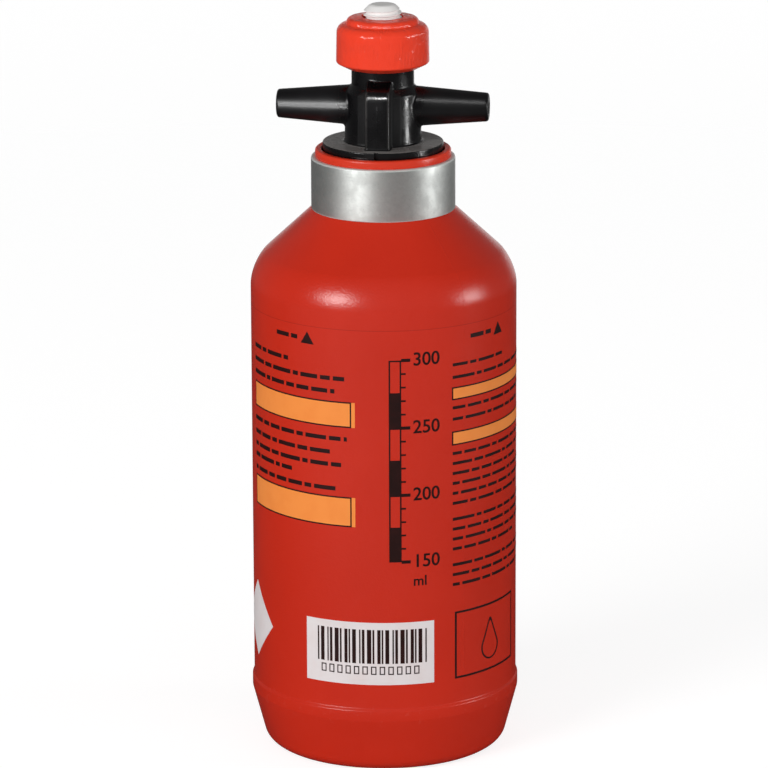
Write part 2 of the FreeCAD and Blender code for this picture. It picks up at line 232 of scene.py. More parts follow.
class ShaderBench(Bench):
    """Tree of one material that ends in a Principled shader."""

    def __init__(self, name: str) -> None:
        """Makes the material with its shader and output.

        Args:
            name: Name of the material.
        """
        self.material = bpy.data.materials.new(name)
        self.material.use_nodes = True
        super().__init__(self.material.node_tree)
        self.shader = self.nodes.new("ShaderNodeBsdfPrincipled")
        output = self.nodes.new("ShaderNodeOutputMaterial")
        self.links.new(self.shader.outputs[0], output.inputs[0])
        self.place = self.add("ShaderNodeTexCoord", {}, {}, "Object")

    def axes(self) -> tuple[Tone, Tone, Tone]:
        """The three object coordinates, in metres."""
        across = self.add("ShaderNodeSeparateXYZ", {}, {0: self.place}, "X")
        return across, across.sibling("Y"), across.sibling("Z")

    def noise(self, grain: Grain) -> Tone:
        """Adds soft noise in object coordinates.

        Args:
            grain: Pattern of the noise.

        Returns:
            The noise value from 0 to 1.
        """
        where = self.place
        if grain.stretch != EVEN:
            where = self.add("ShaderNodeMapping", {}, {"Vector": where, "Scale": grain.stretch})
        values = {
            "Vector": where,
            "Scale": grain.scale,
            "Detail": grain.detail,
            "Roughness": grain.rough,
            "Distortion": grain.bend,
        }
        return self.add("ShaderNodeTexNoise", {}, values)

    def fix(self, **values: Any) -> None:
        """Sets constants on the shader.

        Args:
            values: Values by socket name, with _ for a space.
        """
        for name, value in values.items():
            self.shader.inputs[name.replace("_", " ")].default_value = value

    def feed(self, name: str, tone: Tone) -> None:
        """Links a value that varies over the surface to the shader."""
        self.links.new(tone.socket, self.shader.inputs[name])

    def bump(self, height: Tone, depth: float) -> None:
        """Links a relief, whose depth is in metres, to the shader's normal."""
        values = {"Height": height, "Distance": depth, "Strength": 1.0}
        self.feed("Normal", self.add("ShaderNodeBump", {}, values))


# Finishes, with places and depths in metres


@dataclass(frozen=True)
class Finish:
    """Base of the finishes: a name and a way to make the material once."""

    name: str

    def dress(self, bench: ShaderBench) -> None:
        """Adds the finish's nodes."""
        raise NotImplementedError

    def material(self) -> bpy.types.Material:
        """Makes the finish's material on first use.

        Returns:
            The material.
        """
        found = bpy.data.materials.get(self.name)
        if found is None:
            bench = ShaderBench(self.name)
            self.dress(bench)
            found = bench.material
        return found


@dataclass(frozen=True)
class BlownRed(Finish):
    """Red blown polyethylene: soft clouds, orange peel, a fill line painted as a dark line of shade, the top
    of the neck painted a brighter red as lit, and the parting line of its mould.
    """

    light: Colour = (0.632, 0.0245, 0.0069)
    deep: Colour = (0.580, 0.0212, 0.0058)
    scuff: Colour = (0.640, 0.1100, 0.0800)
    shade: Colour = (0.240, 0.0080, 0.0030)
    # Brighter red painted on the top of the neck as light
    lip: Colour = (0.700, 0.0370, 0.0120)
    cloud: Grain = Grain(26, 3)
    cloud_range: Point = (0.30, 0.72)
    fill_line: Point = (0.11192, 0.11208)
    fill_soft: float = 0.00006
    fill_share: float = 0.45
    lip_rise: Point = (0.1472, 0.1478)
    rub: Grain = Grain(620, 4, 0.65)
    rub_range: Point = (0.56, 0.70)
    rub_share: float = 0.12
    band: Point = (0.0130, 0.0176)
    band_soft: float = 0.0009
    gloss: float = 0.23
    gloss_spread: float = 0.06
    parting_turn: float = 43.0
    parting_width: Point = (0.00008, 0.00022)
    peel: Grain = Grain(780)
    grain: Grain = Grain(2100, 2, 0.6)
    peel_share: float = 0.3
    grain_share: float = 0.7
    parting_share: float = 0.35
    depth: float = 0.00006
    ior: float = 1.51

    def dress(self, bench: ShaderBench) -> None:
        """Adds the finish's nodes.

        Args:
            bench: Tree of the material.
        """
        across, along, height = bench.axes()
        cloud = bench.noise(self.cloud)
        colour = bench.mix(cloud.step(*self.cloud_range), self.deep, self.light)
        # Painted shade: a thin dark line at the fill level stands in for the shade of a shallow moulded
        # groove
        line = height.window(*self.fill_line, self.fill_soft)
        colour = bench.mix(line * self.fill_share, colour, self.shade)
        # Painted light: the top of the neck, the same plastic as the wall, is painted a brighter red
        colour = bench.mix(height.step(*self.lip_rise), colour, self.lip)
        rubbed = height.window(*self.band, self.band_soft) * bench.noise(self.rub).step(*self.rub_range)
        bench.feed("Base Color", bench.mix(rubbed * self.rub_share, colour, self.scuff))
        bench.feed("Roughness", self.gloss + cloud * self.gloss_spread)
        turn = math.radians(self.parting_turn)
        aside = across * math.cos(turn) + along * math.sin(turn)
        parting = 1 - aside.size().step(*self.parting_width)
        skin = bench.noise(self.peel) * self.peel_share + bench.noise(self.grain) * self.grain_share
        bench.bump(skin + parting * self.parting_share, self.depth)
        bench.fix(IOR=self.ior)


@dataclass(frozen=True)
class KnobRed(Finish):
    """Glossy injected red: fine drawn lines up the side and slow waves that break its reflections."""

    light: Colour = (0.960, 0.0580, 0.0225)
    deep: Colour = (0.910, 0.0520, 0.0195)
    cloud: Grain = Grain(120, 3)
    wave: Grain = Grain(460, 2, 0.5, 0.9, (1.0, 1.0, 0.55))
    patch: Grain = Grain(240, 1)
    patch_range: Point = (0.42, 0.62)
    line_count: float = 170.0
    line_gloss: float = 0.03
    line_share: float = 0.10
    gloss: float = 0.12
    gloss_spread: float = 0.08
    depth: float = 0.00030
    ior: float = 1.52

    def dress(self, bench: ShaderBench) -> None:
        """Adds the finish's nodes.

        Args:
            bench: Tree of the material.
        """
        across, along, _ = bench.axes()
        angle = along.math("ARCTAN2", across)
        cloud = bench.noise(self.cloud)
        lines = (angle * self.line_count).sine() * bench.noise(self.patch).step(*self.patch_range)
        bench.feed("Base Color", bench.mix(cloud, self.deep, self.light))
        bench.feed("Roughness", self.gloss + cloud * self.gloss_spread + lines.size() * self.line_gloss)
        bench.bump(bench.noise(self.wave) + lines * self.line_share, self.depth)
        bench.fix(IOR=self.ior)


@dataclass(frozen=True)
class BlackResin(Finish):
    """Black moulded resin: part glossy, part satin, with blasted spouts, a painted reflection on the flange's
    top and painted highlights on the fin's edges.
    """

    dark: Colour = (0.0009, 0.0007, 0.0010)
    pale: Colour = (0.0030, 0.0027, 0.0033)
    # Pale grey painted into the base colour as a reflection on the flange's top and as highlights on the
    # fin's edges
    rubbed: Colour = (0.2400, 0.2250, 0.2150)
    cloud: Grain = Grain(170, 3)
    grain: Grain = Grain(2600, 3, 0.6)
    wave: Grain = Grain(420)
    satin_range: Point = (0.35, 0.68)
    satin_tint: float = 0.6
    grain_tint: float = 0.4
    gloss: float = 0.17
    satin: float = 0.31
    blasted: float = 0.33
    coarse: float = 0.75
    grain_gloss: float = 0.05
    spout_side: Point = (0.0085, 0.0135)
    spout_rise: Point = (0.1535, 0.1545)
    flange: Point = (0.1515, 0.1517)
    flange_soft: float = 0.0001
    above_flange: Point = (0.1518, 0.1526)
    corner: Point = (0.0029, 0.0052)
    corner_soft: float = 0.0003
    corner_front: Point = (-0.0078, -0.0070)
    # Where the painted highlights on the fin's edges go, and how strong the painted sheen is
    fin_edge: Point = (0.00262, 0.00290)
    fin_soft: float = 0.0004
    fin_front: Point = (-0.0118, -0.0114)
    fin_share: float = 0.5
    worn_least: float = 0.6
    worn_spread: float = 0.4
    wave_share: float = 0.7
    grain_share: float = 0.3
    depth: float = 0.00005
    ior: float = 1.44

    def dress(self, bench: ShaderBench) -> None:
        """Adds the finish's nodes.

        Args:
            bench: Tree of the material.
        """
        across, along, height = bench.axes()
        aside = across.size()
        cloud = bench.noise(self.cloud)
        grain = bench.noise(self.grain)
        satin = cloud.step(*self.satin_range)
        above = height.step(*self.above_flange)
        corner = aside.window(*self.corner, self.corner_soft) * above * (1 - along.step(*self.corner_front))
        gloss = self.gloss + satin * (self.satin - self.gloss)
        gloss = gloss + corner * (self.coarse - gloss)
        spout = aside.step(*self.spout_side) * height.step(*self.spout_rise)
        bench.feed("Roughness", gloss + spout * (self.blasted - gloss) + grain * self.grain_gloss)
        # Painted light: a pale grey painted on the flange's top as a reflection and on the fin's front edges
        # as highlights
        fin = aside.window(*self.fin_edge, self.fin_soft) * above * (1 - along.step(*self.fin_front))
        flange = height.window(*self.flange, self.flange_soft)
        worn = flange.math("MAXIMUM", fin * cloud * self.fin_share)
        worn = worn * (self.worn_least + cloud * self.worn_spread)
        colour = bench.mix(satin * self.satin_tint + grain * self.grain_tint, self.dark, self.pale)
        bench.feed("Base Color", bench.mix(worn, colour, self.rubbed))
        bench.bump(bench.noise(self.wave) * self.wave_share + grain * self.grain_share, self.depth)
        bench.fix(IOR=self.ior)


@dataclass(frozen=True)
class SatinAluminium(Finish):
    """Turned and tumbled aluminium: cloudy satin with fine lines round it and small pits."""

    light: Colour = (0.865, 0.893, 0.866)
    dull: Colour = (0.628, 0.650, 0.630)
    cloud: Grain = Grain(320, 4, 0.6)
    cloud_range: Point = (0.34, 0.66)
    cloud_tint: float = 0.5
    cloud_gloss: float = 0.10
    fine: Grain = Grain(1900, 3, 0.6)
    pit_range: Point = (0.62, 0.74)
    pit_tint: float = 0.5
    pit_gloss: float = 0.08
    lines: Grain = Grain(5200, 1, stretch=(0.02, 0.02, 1.0))
    gloss: float = 0.51
    line_share: float = 0.35
    fine_share: float = 0.6
    pit_share: float = 0.4
    depth: float = 0.00004
    wall: Point = (0.13535, 0.14752)
    wall_soft: float = 0.0001
    edge_metal: float = 0.55
    drawn: float = 0.5
    drawn_turn: float = 0.25

    def dress(self, bench: ShaderBench) -> None:
        """Adds the finish's nodes.

        Args:
            bench: Tree of the material.
        """
        cloud = bench.noise(self.cloud).step(*self.cloud_range)
        fine = bench.noise(self.fine)
        pits = fine.step(*self.pit_range)
        dulled = cloud * self.cloud_tint + pits * self.pit_tint
        bench.feed("Base Color", bench.mix(dulled, self.light, self.dull))
        bench.feed("Roughness", self.gloss + cloud * self.cloud_gloss + pits * self.pit_gloss)
        lines = bench.noise(self.lines) * self.line_share
        bench.bump(lines + fine * self.fine_share - pits * self.pit_share, self.depth)
        _, _, height = bench.axes()
        wall = height.window(*self.wall, self.wall_soft)
        bench.feed("Metallic", self.edge_metal + wall * (1 - self.edge_metal))
        bench.fix(Anisotropic=self.drawn, Anisotropic_Rotation=self.drawn_turn)


@dataclass(frozen=True)
class PaleResin(Finish):
    """Pale moulded resin with a faint cast and handled spots."""

    light: Colour = (0.930, 0.918, 0.905)
    worn: Colour = (0.820, 0.785, 0.760)
    cloud: Grain = Grain(300, 3)
    cloud_tint: float = 0.3
    grain: Grain = Grain(2400)
    grain_share: float = 0.5
    spots: Grain = Grain(900, 4, 0.65)
    spot_range: Point = (0.60, 0.78)
    spot_tint: float = 0.35
    spot_share: float = 0.3
    gloss: float = 0.36
    gloss_spread: float = 0.10
    depth: float = 0.00002

    def dress(self, bench: ShaderBench) -> None:
        """Adds the finish's nodes.

        Args:
            bench: Tree of the material.
        """
        cloud = bench.noise(self.cloud)
        spots = bench.noise(self.spots).step(*self.spot_range)
        handled = cloud * self.cloud_tint + spots * self.spot_tint
        bench.feed("Base Color", bench.mix(handled, self.light, self.worn))
        bench.feed("Roughness", self.gloss + cloud * self.gloss_spread)
        bench.bump(bench.noise(self.grain) * self.grain_share + spots * self.spot_share, self.depth)


@dataclass(frozen=True)
class Ink(Finish):
    """Screen-printed ink: even, a little thin in spots."""

    solid: Colour
    thin: Colour
    cloud: Grain = Grain(240, 3)
    cloud_range: Point = (0.35, 0.8)
    cloud_tint: float = 0.5
    weave: Grain = Grain(5200)
    weave_tint: float = 0.25
    gloss: float = 0.42
    gloss_spread: float = 0.10
    depth: float = 0.000006
    ior: float = 1.30

    def dress(self, bench: ShaderBench) -> None:
        """Adds the finish's nodes.

        Args:
            bench: Tree of the material.
        """
        cloud = bench.noise(self.cloud)
        weave = bench.noise(self.weave)
        thinned = cloud.step(*self.cloud_range) * self.cloud_tint + weave * self.weave_tint
        bench.feed("Base Color", bench.mix(thinned, self.solid, self.thin))
        bench.feed("Roughness", self.gloss + cloud * self.gloss_spread)
        bench.bump(weave, self.depth)
        bench.fix(IOR=self.ior)


@dataclass(frozen=True)
class SealRubber(Finish):
    """Black sealing rubber with a dusty bloom."""

    dark: Colour = (0.012, 0.012, 0.012)
    bloom: Colour = (0.050, 0.049, 0.047)
    cloud: Grain = Grain(420, 4, 0.6)
    cloud_tint: float = 0.6
    grain: Grain = Grain(3800)
    gloss: float = 0.55
    gloss_spread: float = 0.18
    depth: float = 0.00002

    def dress(self, bench: ShaderBench) -> None:
        """Adds the finish's nodes.

        Args:
            bench: Tree of the material.
        """
        cloud = bench.noise(self.cloud)
        bench.feed("Base Color", bench.mix(cloud * self.cloud_tint, self.dark, self.bloom))
        bench.feed("Roughness", self.gloss + cloud * self.gloss_spread)
        bench.bump(bench.noise(self.grain), self.depth)


@dataclass(frozen=True)
class SpringSteel(Finish):
    """Drawn spring wire: bright, with draw marks and a straw tint."""

    light: Colour = (0.620, 0.600, 0.560)
    tint: Colour = (0.440, 0.400, 0.330)
    cloud: Grain = Grain(500, 3)
    marks: Grain = Grain(1400, stretch=(1.0, 1.0, 9.0))
    gloss: float = 0.22
    gloss_spread: float = 0.16
    depth: float = 0.00001

    def dress(self, bench: ShaderBench) -> None:
        """Adds the finish's nodes.

        Args:
            bench: Tree of the material.
        """
        marks = bench.noise(self.marks)
        bench.feed("Base Color", bench.mix(bench.noise(self.cloud), self.light, self.tint))
        bench.feed("Roughness", self.gloss + marks * self.gloss_spread)
        bench.bump(marks, self.depth)
        bench.fix(Metallic=1.0)


BOTTLE_RED = BlownRed("blown_red")
THUMB_RED = KnobRed("knob_red")
VALVE_BLACK = BlackResin("black_resin")
COLLAR_METAL = SatinAluminium("satin_aluminium")
STEM_WHITE = PaleResin("stem_white")
WASHER_WHITE = PaleResin("washer_natural", (0.70, 0.68, 0.62), (0.55, 0.52, 0.46))
CAGE_GREY = PaleResin("cage_grey", (0.34, 0.34, 0.33), (0.24, 0.24, 0.23))
RUBBER = SealRubber("seal_rubber_black")
SPRING = SpringSteel("spring_wire")
DARK_INK = Ink("dark_ink", (0.0160, 0.0050, 0.0045), (0.0420, 0.0060, 0.0050))
ORANGE_INK = Ink("orange_ink", (0.960, 0.300, 0.060), (0.900, 0.250, 0.045))
WHITE_INK = Ink("white_ink", (0.800, 0.755, 0.760), (0.760, 0.660, 0.650))


# Meshes


@dataclass(frozen=True)
class Corner:
    """Corner of an outline that is turned about the axis, in millimetres, and the facets of its rounding."""

    radius: float
    height: float
    rounding: float = 0.0
    segments: int = 5

    def point(self) -> Vector:
        """The corner in the XZ plane, in metres."""
        return Vector((self.radius, 0.0, self.height)) * MM


@dataclass(frozen=True)
class Lathe:
    """Turns outlines about the Z axis, in steps to a turn and with a longest edge in millimetres."""

    steps: int
    pitch: float = 2.0
    merge: float = 1e-7
    sliver: float = 1e-8

    @staticmethod
    def setback(before: Vector, at: Vector, after: Vector, rounding: float) -> float:
        """Distance from a corner, between two others, to where its rounding starts."""
        return rounding / math.tan((before - at).angle(after - at) / 2)

    def outline(self, corners: Sequence[Corner], closed: bool) -> bmesh.types.BMesh:
        """Makes a wire with rounded corners.

        Args:
            corners: Corners in order.
            closed: Whether the last corner joins the first.

        Returns:
            A mesh of vertices and edges.
        """
        shape = bmesh.new()
        points = [corner.point() for corner in corners]
        verts = [shape.verts.new(point) for point in points]
        follow = verts[1:] + verts[:1]
        for first, second in zip(verts if closed else verts[:-1], follow):
            shape.edges.new((first, second))
        for index, corner in enumerate(corners):
            if not corner.rounding:
                continue
            after = points[(index + 1) % len(points)]
            bmesh.ops.bevel(
                shape,
                geom=[verts[index]],
                offset=self.setback(points[index - 1], points[index], after, corner.rounding * MM),
                offset_type="OFFSET",
                segments=corner.segments,
                profile=0.5,
                affect="VERTICES",
                material=-1,
            )
        for edge in list(shape.edges):
            cuts = math.ceil(edge.calc_length() / (self.pitch * MM)) - 1
            if cuts > 0:
                bmesh.ops.subdivide_edges(shape, edges=[edge], cuts=cuts)
        return shape

    def sweep(self, shape: bmesh.types.BMesh, turns: float, rise: float, joined: bool) -> None:
        """Spins a wire about the axis.

        Args:
            shape: Mesh of the wire, which becomes a skin.
            turns: Number of turns.
            rise: Height of a turn in millimetres.
            joined: Whether the end meets the start.
        """
        bmesh.ops.spin(
            shape,
            geom=shape.verts[:] + shape.edges[:],
            cent=(0, 0, 0),
            axis=(0, 0, 1),
            dvec=(0, 0, rise * MM / self.steps),
            angle=math.tau * turns,
            steps=round(self.steps * turns),
            use_merge=joined,
            use_duplicate=False,
        )

    def turn(self, corners: Sequence[Corner], closed: bool = True) -> bmesh.types.BMesh:
        """Turns an outline into a closed skin.

        Args:
            corners: Corners in order, from axis to axis where the outline isn't closed.
            closed: Whether the last corner joins the first.

        Returns:
            The skin, its faces outwards.
        """
        shape = self.outline(corners, closed)
        self.sweep(shape, 1, 0.0, joined=True)
        bmesh.ops.remove_doubles(shape, verts=shape.verts, dist=self.merge)
        bmesh.ops.dissolve_degenerate(shape, edges=shape.edges, dist=self.sliver)
        bmesh.ops.recalc_face_normals(shape, faces=shape.faces)
        return shape

    def screw(self, section: Sequence[Point], rise: float, turns: float) -> bmesh.types.BMesh:
        """Winds a section up the axis into a closed ridge.

        Args:
            section: Points as radius and height, in millimetres.
            rise: Height of a turn in millimetres.
            turns: Number of turns.

        Returns:
            The ridge, its faces outwards.
        """
        shape = bmesh.new()
        verts = [shape.verts.new(Corner(*point).point()) for point in section]
        for first, second in zip(verts, verts[1:] + verts[:1]):
            shape.edges.new((first, second))
        self.sweep(shape, turns, rise, joined=False)
        bmesh.ops.holes_fill(shape, edges=[edge for edge in shape.edges if edge.is_boundary], sides=0)
        bmesh.ops.recalc_face_normals(shape, faces=shape.faces)
        return shape


@dataclass
class Sheet:
    """Flat print that is wrapped round the wall as a thin closed film, in millimetres."""

    lift: float
    sink: float = 0.05
    stride: float = 0.8
    merge: float = 1e-5
    cut: float = 1e-6
    curve_facets: int = 6
    boldness: float = 0.012
    shape: bmesh.types.BMesh = field(default_factory=bmesh.new)

    def patch(self, points: Iterable[Point]) -> None:
        """Adds a flat patch through points along and up the wall."""
        self.shape.faces.new([self.shape.verts.new((across, up, 0.0)) for across, up in points])

    def bar(self, left: float, low: float, right: float, high: float) -> None:
        """Adds an upright rectangle."""
        self.patch([(left, low), (right, low), (right, high), (left, high)])

    def border(self, left: float, low: float, right: float, high: float, line: float) -> None:
        """Adds the four lines of a frame.

        Args:
            left: Outer left edge.
            low: Outer lower edge.
            right: Outer right edge.
            high: Outer upper edge.
            line: Width of the lines.
        """
        self.bar(left, low, left + line, high)
        self.bar(right - line, low, right, high)
        self.bar(left + line, low, right - line, low + line)
        self.bar(left + line, high - line, right - line, high)

    def words(self, body: str, size: float, left: float, middle: float) -> None:
        """Adds numerals or a unit in plain type.

        Args:
            body: What is written.
            size: Height of the type.
            left: Left edge.
            middle: Height of the middle of the line.
        """
        curve = bpy.data.curves.new("numerals", "FONT")
        curve.body = body
        curve.size = size
        curve.resolution_u = self.curve_facets
        curve.offset = size * self.boldness
        curve.align_y = "CENTER"
        holder = bpy.data.objects.new("numerals", curve)
        mesh = bpy.data.meshes.new_from_object(holder)
        mesh.transform(Matrix.Translation((left, middle, 0.0)))
        self.shape.from_mesh(mesh)
        bpy.data.objects.remove(holder)
        bpy.data.curves.remove(curve)
        bpy.data.meshes.remove(mesh)

    def wrapped(self, radius: float) -> bmesh.types.BMesh:
        """Thickens the print and wraps it round the wall.

        Args:
            radius: Radius of the wall.

        Returns:
            The film, in metres.
        """
        shape = self.shape
        bmesh.ops.remove_doubles(shape, verts=shape.verts, dist=self.merge)
        for face in shape.faces:
            if face.normal.z < 0:
                face.normal_flip()
        under = bmesh.ops.extrude_face_region(shape, geom=shape.faces[:], use_keep_orig=True)
        tops = [item for item in under["geom"] if isinstance(item, bmesh.types.BMVert)]
        bmesh.ops.translate(shape, verts=tops, vec=(0, 0, self.lift + self.sink))
        bmesh.ops.translate(shape, verts=shape.verts, vec=(0, 0, -self.sink))
        spread = [vert.co.x for vert in shape.verts]
        first, last = math.ceil(min(spread) / self.stride), math.floor(max(spread) / self.stride)
        for index in range(first, last + 1):
            bmesh.ops.bisect_plane(
                shape,
                geom=shape.verts[:] + shape.edges[:] + shape.faces[:],
                dist=self.cut,
                plane_co=(index * self.stride, 0, 0),
                plane_no=(1, 0, 0),
            )
        for vert in shape.verts:
            turn = vert.co.x / radius
            reach = radius + vert.co.z
            vert.co = Vector((reach * math.sin(turn), -reach * math.cos(turn), vert.co.y)) * MM
        bmesh.ops.recalc_face_normals(shape, faces=shape.faces)
        return shape


class Workshop:
    """Turns meshes into pieces of the scene and dresses CAD nodes."""

    SHARP = math.radians(34)

    @classmethod
    def piece(
        cls,
        name: str,
        shape: bmesh.types.BMesh,
        finish: Finish,
        body: Body,
        slot: Slot,
        stands_for: Sequence[str] = (),
    ) -> bpy.types.Object:
        """Makes a piece that rides on a body.

        Args:
            name: Name of the piece.
            shape: Its mesh, which is used up.
            finish: Its finish.
            body: Body it rides on.
            slot: Slot of the record that goes with its finish. It is not used.
            stands_for: CAD nodes that it replaces.

        Returns:
            The piece.
        """
        mesh = bpy.data.meshes.new(name)
        shape.to_mesh(mesh)
        shape.free()
        mesh.shade_smooth()
        mesh.set_sharp_from_angle(angle=cls.SHARP)
        mesh.materials.append(finish.material())
        thing = bpy.data.objects.new(name, mesh)
        bpy.context.scene.collection.objects.link(thing)
        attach(thing, body.value)
        if stands_for:
            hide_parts(*stands_for)
        LOG.info("piece %s: %d faces on body %s", name, len(mesh.polygons), body.value)
        return thing

    @staticmethod
    def dress_node(node: str, finish: Finish) -> None:
        """Gives a CAD node a finish."""
        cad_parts[node].material_slots[0].material = finish.material()
        LOG.info("node %s: finish %s", node, finish.name)


# Sub-assemblies


@dataclass
class Bottle:
    """Blown bottle with its threaded neck, in millimetres."""

    radius: float = WALL_RADIUS
    band_radius: float = 32.95
    band_low: float = 14.0
    band_high: float = 16.6
    band_slope: float = 0.6
    band_rounding: float = 0.35
    band_edge: float = 1.6
    base_radius: float = 29.2
    base_rounding: float = 3.9
    recess_radius: float = 22.0
    recess_depth: float = 2.0
    floor: float = 1.9
    wall: float = 1.7
    shoulder_level: float = 121.2
    shoulder_rounding: float = 11.6
    neck_radius: float = 16.3
    lip_radius: float = 16.55
    lip_top: float = 149.9
    lip_under: float = 0.12
    lip_rounding: float = 0.55
    mouth_radius: float = 15.0
    mouth_rounding: float = 0.28
    seat_level: float = 147.3
    bore_radius: float = 13.2
    bore_foot: float = 136.8
    inner_shoulder: float = 120.46
    inner_taper: float = 12.4
    inner_base: float = 27.95
    inner_rounding: float = 3.0
    thread_radius: float = 12.2
    thread_root: float = 0.1
    thread_foot: float = 1.25
    thread_crest: float = 0.7
    thread_rise: float = 4.0
    thread_middle: float = 137.7
    thread_turns: float = 2.1
    skin_lathe: Lathe = Lathe(192, 2.4)
    thread_lathe: Lathe = Lathe(96)

    def outside(self) -> list[Corner]:
        """Lists the corners of the outside.

        Returns:
            The corners, from the axis up to the mouth.
        """
        return [
            Corner(0.0, self.recess_depth),
            Corner(self.recess_radius - self.recess_depth, self.recess_depth, self.recess_depth / 2),
            Corner(self.recess_radius, 0.0, self.recess_depth / 4),
            Corner(self.base_radius, 0.0, self.base_rounding, segments=10),
            Corner(self.band_radius, self.band_low, self.band_edge, segments=4),
            Corner(self.band_radius, self.band_high, self.band_rounding, segments=4),
            Corner(self.radius, self.band_high + self.band_slope, self.band_rounding, segments=4),
            Corner(self.radius, self.shoulder_level, self.shoulder_rounding, segments=24),
            Corner(COLLAR_RADIUS, NECK_LEVEL),
            Corner(self.neck_radius, NECK_LEVEL),
            Corner(self.neck_radius, LIP_LEVEL),
            Corner(self.lip_radius, LIP_LEVEL, self.lip_under, segments=3),
            Corner(self.lip_radius, self.lip_top, self.lip_rounding, segments=7),
            Corner(self.mouth_radius, self.lip_top, self.mouth_rounding, segments=4),
            Corner(self.mouth_radius, self.seat_level),
        ]

    def inside(self) -> list[Corner]:
        """Lists the corners of the inside.

        Returns:
            The corners, from the seat in the neck down to the axis.
        """
        inner = self.radius - self.wall
        return [
            Corner(self.bore_radius, self.seat_level),
            Corner(self.bore_radius, self.bore_foot),
            Corner(inner, self.inner_shoulder, self.shoulder_rounding - self.wall, segments=12),
            Corner(inner, self.inner_taper),
            Corner(self.inner_base, self.floor, self.inner_rounding),
            Corner(self.recess_radius + self.recess_depth, self.floor, self.recess_depth / 4),
            Corner(self.recess_radius, self.floor + self.recess_depth, self.recess_depth / 4),
            Corner(0.0, self.floor + self.recess_depth),
        ]

    def build(self) -> None:
        """Makes the bottle's skin and the ridge of its thread."""
        skin = self.skin_lathe.turn(self.outside() + self.inside(), closed=False)
        Workshop.piece("bottle_skin", skin, BOTTLE_RED, Body.BOTTLE, Slot.BOTTLE, ["bottle_body"])
        root = self.bore_radius + self.thread_root
        section = [
            (root, self.thread_middle - self.thread_foot),
            (self.thread_radius, self.thread_middle - self.thread_crest),
            (self.thread_radius, self.thread_middle + self.thread_crest),
            (root, self.thread_middle + self.thread_foot),
        ]
        ridge = self.thread_lathe.screw(section, self.thread_rise, self.thread_turns)
        Workshop.piece("neck_thread", ridge, BOTTLE_RED, Body.BOTTLE, Slot.BOTTLE)


